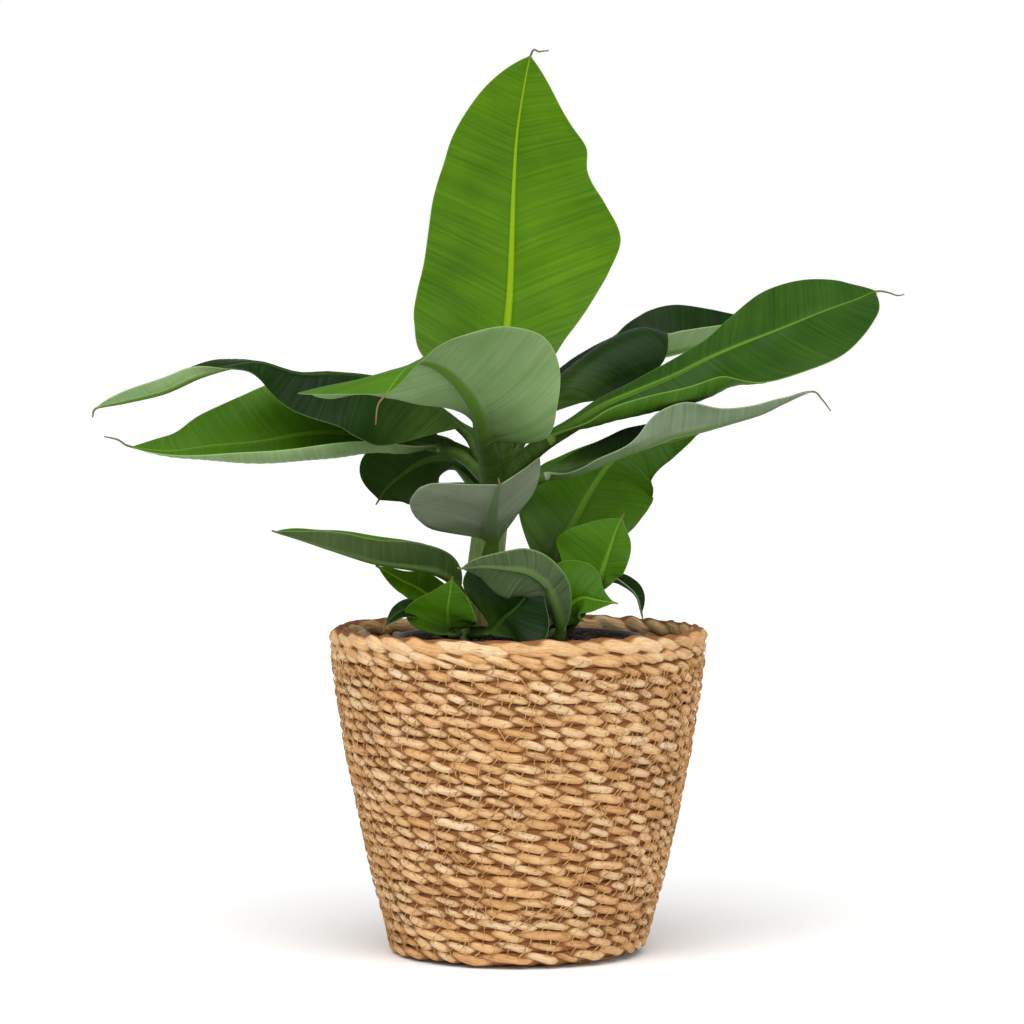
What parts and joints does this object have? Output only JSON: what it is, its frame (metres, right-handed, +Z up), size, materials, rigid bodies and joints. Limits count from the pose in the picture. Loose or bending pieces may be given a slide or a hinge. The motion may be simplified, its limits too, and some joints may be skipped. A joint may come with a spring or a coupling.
{
  "type": "potted banana plant",
  "caption": "Young dwarf banana plant with broad arching leaves, in a nursery pot set inside a tapered, coiled seagrass basket with a rope rim.",
  "frame": {"origin": "centre of the basket's underside, on the floor", "axes": "+Z is up along the basket's axis, -Y is the front, +X is to the right seen from the front"},
  "size_m": [0.3912, 0.1937, 0.442],
  "materials": {
    "seagrass": "dry twisted grass rope, matt, straw to red-brown, stitched with thin twine",
    "lining_film": "thin translucent film, slightly crumpled, stands in for a soft plastic bag",
    "pot_plastic": "thin moulded black nursery pot, low sheen",
    "potting_soil": "moist dark crumbs of peat and bark",
    "stem": "fleshy overlapping leaf sheaths, green with brown streaks, satin",
    "green_leaf": "fresh green blade, satin, paler grey-green underneath, fine side veins and a pale margin",
    "dark_leaf": "deep green blade with a cool sheen, grey-green underneath, fine side veins and a pale margin"
  },
  "bodies": {
    "root": {"basket_base": "seagrass", "basket_wall": "seagrass", "basket_rim": "seagrass", "basket_lining": "lining_film", "nursery_pot": "pot_plastic", "soil": "potting_soil", "pseudostem": "stem", "sucker_stem_right": "stem", "sucker_stem_left": "stem", "sucker_stem_front": "stem", "leaf_upright": "green_leaf", "leaf_front": "green_leaf", "leaf_left_upper": "dark_leaf", "leaf_left_lower": "green_leaf", "leaf_left_back": "dark_leaf", "leaf_centre": "dark_leaf", "leaf_right_back": "dark_leaf", "leaf_right_upper": "green_leaf", "leaf_right_lower": "dark_leaf", "leaf_right_broad": "green_leaf", "leaf_right_low": "dark_leaf", "leaf_hanging_tip": "green_leaf", "leaf_front_twisted": "green_leaf", "leaf_front_bright": "green_leaf", "leaf_long_left": "green_leaf", "leaf_small_bright": "green_leaf", "leaf_small_dark": "dark_leaf", "leaf_low_green": "green_leaf", "leaf_low_dark": "dark_leaf"}
  },
  "joints": []
}
